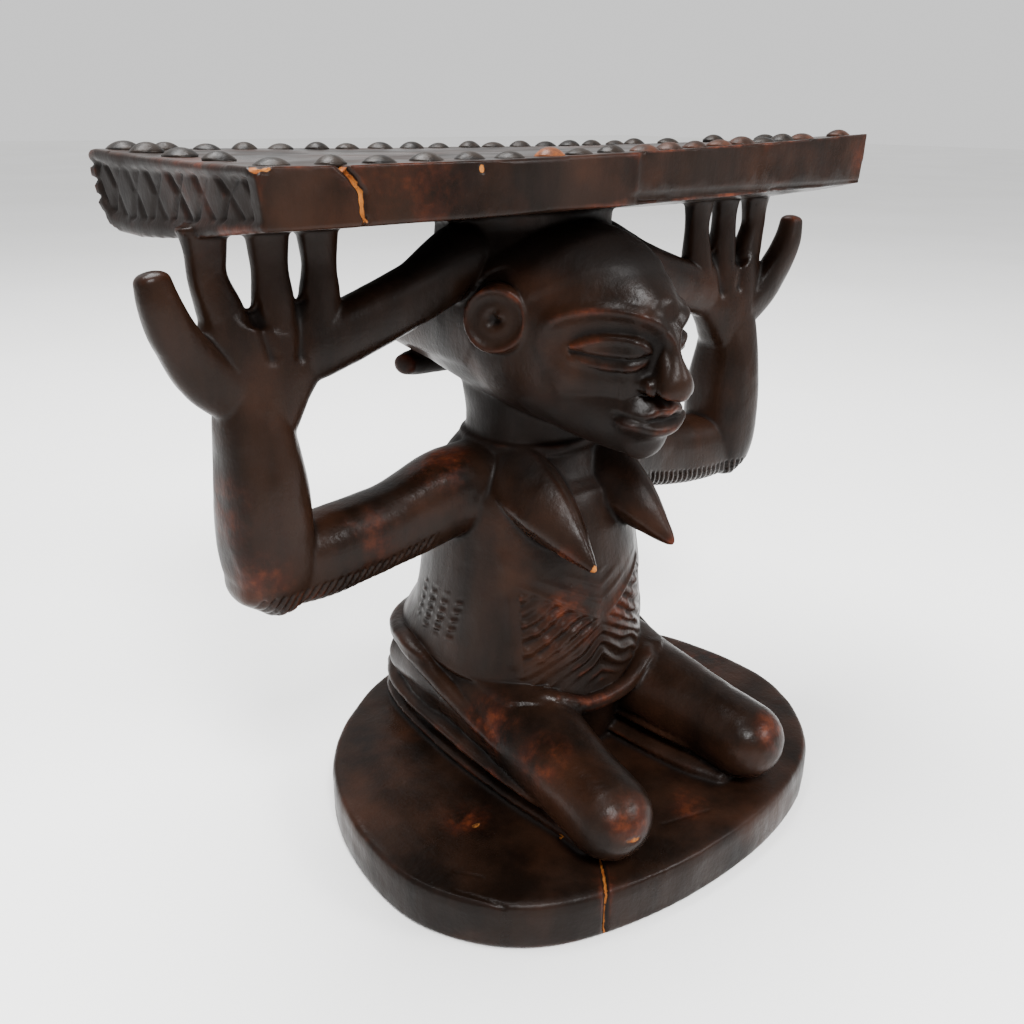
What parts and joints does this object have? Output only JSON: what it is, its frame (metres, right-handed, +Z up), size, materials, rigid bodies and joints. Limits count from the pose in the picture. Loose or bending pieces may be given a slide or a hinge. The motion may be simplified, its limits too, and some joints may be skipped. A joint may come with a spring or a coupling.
{
  "type": "headrest",
  "caption": "Carved wooden headrest: a kneeling figure on a round base holds up a long tack-studded neck platform with both hands.",
  "frame": {"origin": "on the floor, under the middle of the object's bounding box", "axes": "+X along the platform, to the figure's left; -Y the way the figure faces; +Z up"},
  "size_m": [0.2152, 0.141, 0.1865],
  "materials": {
    "dark_wood": "old oiled patina, satin, rubbed red-brown on the ridges",
    "aged_brass": "dark brown tarnish, satin"
  },
  "bodies": {
    "root": {"carved_body": "dark_wood", "tack_front_01": "aged_brass", "tack_front_02": "aged_brass", "tack_front_03": "aged_brass", "tack_front_04": "aged_brass", "tack_front_05": "aged_brass", "tack_front_06": "aged_brass", "tack_front_07": "aged_brass", "tack_front_08": "aged_brass", "tack_front_09": "aged_brass", "tack_front_10": "aged_brass", "tack_front_11": "aged_brass", "tack_front_12": "aged_brass", "tack_front_13": "aged_brass", "tack_front_14": "aged_brass", "tack_front_15": "aged_brass", "tack_front_16": "aged_brass", "tack_front_17": "aged_brass", "tack_front_18": "aged_brass", "tack_back_01": "aged_brass", "tack_back_02": "aged_brass", "tack_back_03": "aged_brass", "tack_back_04": "aged_brass", "tack_back_05": "aged_brass", "tack_back_06": "aged_brass", "tack_back_07": "aged_brass", "tack_back_08": "aged_brass", "tack_back_09": "aged_brass", "tack_back_10": "aged_brass", "tack_back_11": "aged_brass", "tack_back_12": "aged_brass", "tack_back_13": "aged_brass", "tack_back_14": "aged_brass", "tack_back_15": "aged_brass", "tack_back_16": "aged_brass", "tack_back_17": "aged_brass", "tack_back_18": "aged_brass", "tack_left_end_1": "aged_brass", "tack_left_end_2": "aged_brass", "tack_left_end_3": "aged_brass", "tack_right_end_1": "aged_brass", "tack_right_end_2": "aged_brass", "tack_right_end_3": "aged_brass"}
  },
  "joints": []
}
